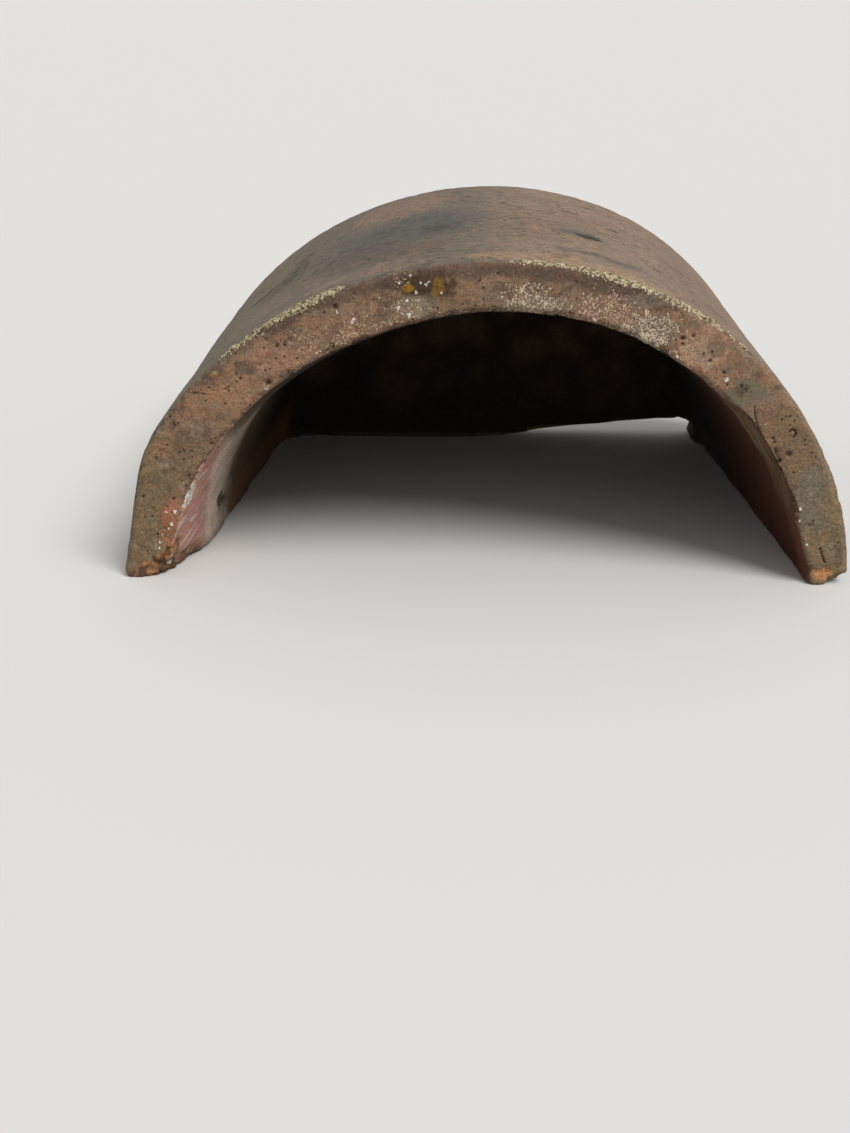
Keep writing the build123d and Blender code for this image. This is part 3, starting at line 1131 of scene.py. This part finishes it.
def lichen_crust(shader, colour, granules, fine):
    """Granules of pale and dull yellow, broken up by dark gaps."""
    edge = shader.plus(shader.uneven(granules, 1.5), shader.uneven(fine, 1.5))
    weight = shader.ragged_mask("lichen", edge, 0.4, 0.66, 0.2)
    pale = shader.mix(shader.rise(fine, 0.36, 0.66), LICHEN_DULL, LICHEN_PALE)
    granule = shader.mix(shader.rise(granules, 0.4, 0.5), LICHEN_GAP, pale)
    return shader.mix(weight, colour, granule), weight


def roughness(shader, crust, fine, moss):
    """The skin and the smooth inside have a slight sheen, and everything else is dull."""
    dull = 0.93
    sheen = 0.3
    variation = 0.12
    gloss = 0.32
    clean = shader.minus(dull, shader.times(shader.mask("polish"), sheen))
    varied = shader.plus(clean, shader.times(fine, variation))
    matt = shader.math("MAXIMUM", shader.math("MAXIMUM", moss, shader.mask("pit")), crust)
    total = shader.math("ADD", varied, shader.times(matt, 0.4), clamp=True)
    shader.tree.links.new(total, shader.surface.inputs["Roughness"])
    shader.surface.inputs["Specular IOR Level"].default_value = gloss


def relief(shader, fine, coarse, speck, crust):
    """Bump for what is finer than the mesh, with heights in millimetres."""
    total = shader.times(fine, 0.16)
    for value, tall in ((coarse, 0.25), (speck, 0.08), (crust, 0.3)):
        total = shader.plus(total, shader.times(value, tall))
    bump = shader.add("Bump", {"Height": total, "Distance": MM, "Strength": 0.8})
    shader.tree.links.new(bump.outputs["Normal"], shader.surface.inputs["Normal"])


# Tile


def make_tile():
    """The weathered tile, made on the CAD solid and standing in for it."""
    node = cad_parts["ridge_tile"]
    piece = fine_mesh(node)
    clay = Clay(piece.data)
    roughen(clay)
    wear_arrises(clay)
    square_feet(clay)
    round_right_foot(clay)
    carve_grooves(clay)
    punch_pits(clay)
    dent_skin(clay)
    paint_mouth(clay)
    paint_skin(clay)
    paint_inside(clay)
    paint_ends(clay)
    flake_right_edge(clay)
    break_left_foot(clay)
    paint_right_foot_fracture(clay)
    set_masks(clay)
    sprinkle_mouth(clay)
    stain_skin(clay)
    grow_moss(clay)
    grow_lichen(clay)
    store(clay, piece.data)
    piece.data.materials.clear()
    piece.data.materials.append(fired_clay())
    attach(piece, "root")
    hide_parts("ridge_tile")


def store(clay, mesh):
    """Move the mesh's points by the relief, no further than the CAD box, and keep the masks."""
    moved = clay.points + clay.normals * clay.height[:, None] + clay.shift
    moved = np.clip(moved, low, high) * MM
    mesh.vertices.foreach_set("co", moved.ravel())
    tone = mesh.attributes.new("tone", "FLOAT_COLOR", "POINT")
    tone.data.foreach_set("color", np.c_[clay.tone, np.ones(len(moved))].ravel())
    for name, mask in clay.masks.items():
        mesh.attributes.new(name, "FLOAT", "POINT").data.foreach_set("value", mask)
    mesh.shade_smooth()
    mesh.update()


# Studio


def make_camera():
    """The photograph's viewpoint."""
    data = bpy.data.cameras.new("camera")
    data.sensor_fit = "HORIZONTAL"
    data.sensor_width = sensor
    data.lens = sensor * focal_pixels / image_width
    data.clip_start = 0.01
    data.clip_end = 100.0
    camera = bpy.data.objects.new("camera", data)
    camera.location = Vector(camera_place) * MM
    camera.rotation_euler = (math.pi / 2 - camera_pitch, 0.0, camera_heading)
    bpy.context.scene.collection.objects.link(camera)
    bpy.context.scene.camera = camera


def seen_directly(tree):
    """1 for what the camera sees, also in gloss or through glass, and 0 for other light."""
    path = tree.nodes.new("ShaderNodeLightPath")
    total = path.outputs["Is Camera Ray"]
    for name in ("Is Glossy Ray", "Is Transmission Ray"):
        either = tree.nodes.new("ShaderNodeMath")
        either.operation = "MAXIMUM"
        tree.links.new(total, either.inputs[0])
        tree.links.new(path.outputs[name], either.inputs[1])
        total = either.outputs[0]
    return total


def blend_by_ray(tree, lit, seen):
    """One colour for what the camera sees and another for the light that it sends on."""
    blend = tree.nodes.new("ShaderNodeMix")
    blend.data_type = "RGBA"
    blend.inputs[6].default_value = (*lit, 1.0)
    blend.inputs[7].default_value = (*seen, 1.0)
    tree.links.new(seen_directly(tree), blend.inputs[0])
    return blend.outputs[2]


def make_floor():
    """A pale floor that sends little light back up."""
    bpy.ops.mesh.primitive_plane_add(size=floor_size)
    floor = bpy.context.object
    floor.name = "floor"
    finish = bpy.data.materials.new("floor")
    finish.use_nodes = True
    shader = finish.node_tree.nodes["Principled BSDF"]
    shader.inputs["Roughness"].default_value = 0.9
    shader.inputs["Specular IOR Level"].default_value = 0.2
    colour = blend_by_ray(finish.node_tree, FLOOR_LIT, FLOOR_SEEN)
    finish.node_tree.links.new(colour, shader.inputs["Base Color"])
    floor.data.materials.append(finish)


def make_lights():
    """Soft light from all round, and one broad lamp."""
    world = bpy.data.worlds.new("studio")
    bpy.context.scene.world = world
    world.use_nodes = True
    background = world.node_tree.nodes["Background"]
    colour = blend_by_ray(world.node_tree, WORLD_LIT, WORLD_SEEN)
    world.node_tree.links.new(colour, background.inputs["Color"])
    background.inputs["Strength"].default_value = 1.0
    data = bpy.data.lights.new("soft light", "SUN")
    data.energy = lamp_strength
    data.angle = lamp_softness
    lamp = bpy.data.objects.new("soft light", data)
    lamp.rotation_euler = (lamp_tilt, 0.0, lamp_heading)
    bpy.context.scene.collection.objects.link(lamp)


make_camera()
make_floor()
make_lights()
make_tile()
bpy.context.scene.view_settings.view_transform = "Standard"
